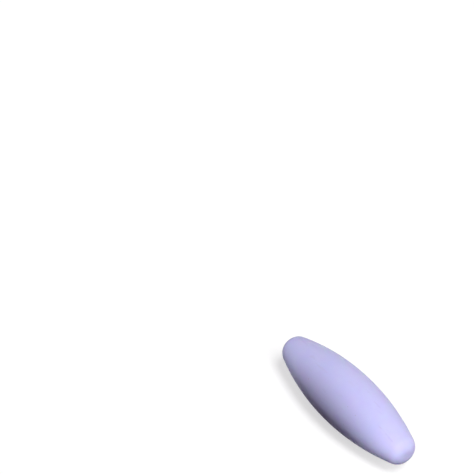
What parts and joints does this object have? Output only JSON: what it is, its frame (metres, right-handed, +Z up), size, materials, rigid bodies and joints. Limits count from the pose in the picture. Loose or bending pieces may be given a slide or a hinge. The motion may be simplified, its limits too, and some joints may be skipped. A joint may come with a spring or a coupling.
{
  "type": "magnetic stir bar",
  "caption": "Oval magnetic stir bar: a bar magnet sealed in a smooth crowned fluoropolymer jacket with blunt rounded tips.",
  "frame": {"origin": "the point under the middle of the belly, where the bar touches the floor of the vessel", "axes": "+X along the bar's long axis, +Z up, +Y completes a right-handed frame"},
  "size_m": [0.064, 0.02, 0.02],
  "materials": {
    "jacket": "satin",
    "magnet": "as cast, ground ends"
  },
  "bodies": {
    "root": {"jacket": "jacket", "magnet": "magnet"}
  },
  "joints": []
}
